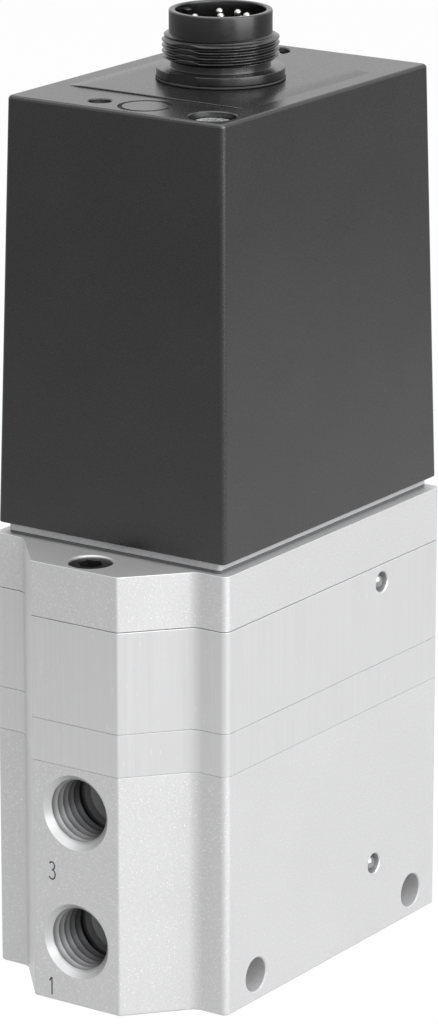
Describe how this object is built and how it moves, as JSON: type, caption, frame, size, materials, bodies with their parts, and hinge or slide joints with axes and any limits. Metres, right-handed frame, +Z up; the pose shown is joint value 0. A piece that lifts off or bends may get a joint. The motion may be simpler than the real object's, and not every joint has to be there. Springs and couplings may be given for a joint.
{
  "type": "electro pneumatic regulator",
  "caption": "Upright pressure regulator: stacked aluminium blocks with threaded ports in a nose, a tapered black hood on top and a round male plug.",
  "frame": {"origin": "centre of the box around the part, on its flat base", "axes": "+Z up along the stack to the plug, -Y to the nose with ports 1 and 3, +X to the side with the two ball plugs"},
  "size_m": [0.038, 0.061, 0.1313],
  "materials": {
    "blasted_aluminium": "bead blasted and clear anodised",
    "brushed_aluminium": "finely milled along the height and clear anodised",
    "moulded_black": "moulded satin",
    "plug_black": "black chromed die casting",
    "black_steel": "blackened steel",
    "zinc_steel": "bright zinc plated",
    "silver_contact": "silver plated",
    "brass": "turned",
    "rubber": "matt",
    "grey_gasket": "matt",
    "clear_lens": "clear moulded",
    "circuit_board": "solder mask"
  },
  "bodies": {
    "housing": {"valve_body": "blasted_aluminium", "spacer_plate": "brushed_aluminium", "diaphragm_housing": "brushed_aluminium", "top_plate": "blasted_aluminium", "base_plate": "blasted_aluminium", "base_gasket": "grey_gasket", "electronics_cover": "moulded_black", "cover_screw_front": "zinc_steel", "cover_screw_rear": "zinc_steel", "plug_shell": "plug_black", "plug_insert": "plug_black", "plug_gasket": "rubber", "plug_nut": "brass", "contact_pin_1": "silver_contact", "contact_pin_2": "silver_contact", "contact_pin_3": "silver_contact", "contact_pin_4": "silver_contact", "contact_pin_5": "silver_contact", "contact_pin_6": "silver_contact", "contact_pin_7": "silver_contact", "contact_pin_8": "silver_contact", "light_pipe": "clear_lens", "pilot_plug": "black_steel", "ball_plug_upper": "zinc_steel", "ball_plug_lower": "zinc_steel", "bottom_cap": "brass", "bottom_cap_seal": "rubber", "valve_spring": "zinc_steel", "guide_bush": "brass", "stem_seal": "rubber", "diaphragm": "rubber", "housing_gasket": "rubber", "body_screw_1": "zinc_steel", "body_screw_2": "zinc_steel", "body_screw_3": "zinc_steel", "body_screw_4": "zinc_steel", "base_screw_1": "zinc_steel", "base_screw_2": "zinc_steel", "top_board": "circuit_board", "main_board": "circuit_board", "indicator_led": "clear_lens", "pilot_manifold": "moulded_black", "pilot_coil_1": "moulded_black", "pilot_coil_2": "moulded_black", "armature_spring_1": "zinc_steel", "armature_spring_2": "zinc_steel", "pressure_sensor": "zinc_steel"},
    "stem_assembly": {"control_stem": "zinc_steel", "lower_disc": "brushed_aluminium", "upper_disc": "brushed_aluminium", "stem_nut": "zinc_steel"},
    "poppet_assembly": {"poppet": "brass", "poppet_seal": "rubber"},
    "armature_1": {"pilot_armature_1": "zinc_steel"},
    "armature_2": {"pilot_armature_2": "zinc_steel"}
  },
  "joints": [
    {"name": "stem_travel", "type": "slide", "parent": "housing", "child": "stem_assembly", "axis": [0, 0, 1], "range_m": [-0.0014, 0], "deforming": ["diaphragm"]},
    {"name": "poppet_travel", "type": "slide", "parent": "housing", "child": "poppet_assembly", "axis": [0, 0, 1], "range_m": [-0.0014, 0], "stiffness_N_per_m": 1000, "springref_m": 0.002, "deforming": ["valve_spring"]},
    {"name": "armature_1_lift", "type": "slide", "parent": "housing", "child": "armature_1", "axis": [0, 0, 1], "range_m": [0, 0.0005], "stiffness_N_per_m": 100, "springref_m": -0.002, "deforming": ["armature_spring_1"]},
    {"name": "armature_2_lift", "type": "slide", "parent": "housing", "child": "armature_2", "axis": [0, 0, 1], "range_m": [0, 0.0005], "stiffness_N_per_m": 100, "springref_m": -0.002, "deforming": ["armature_spring_2"]}
  ],
  "couplings": [
    {"joint": "poppet_travel", "follows": "stem_travel", "ratio": 1}
  ]
}
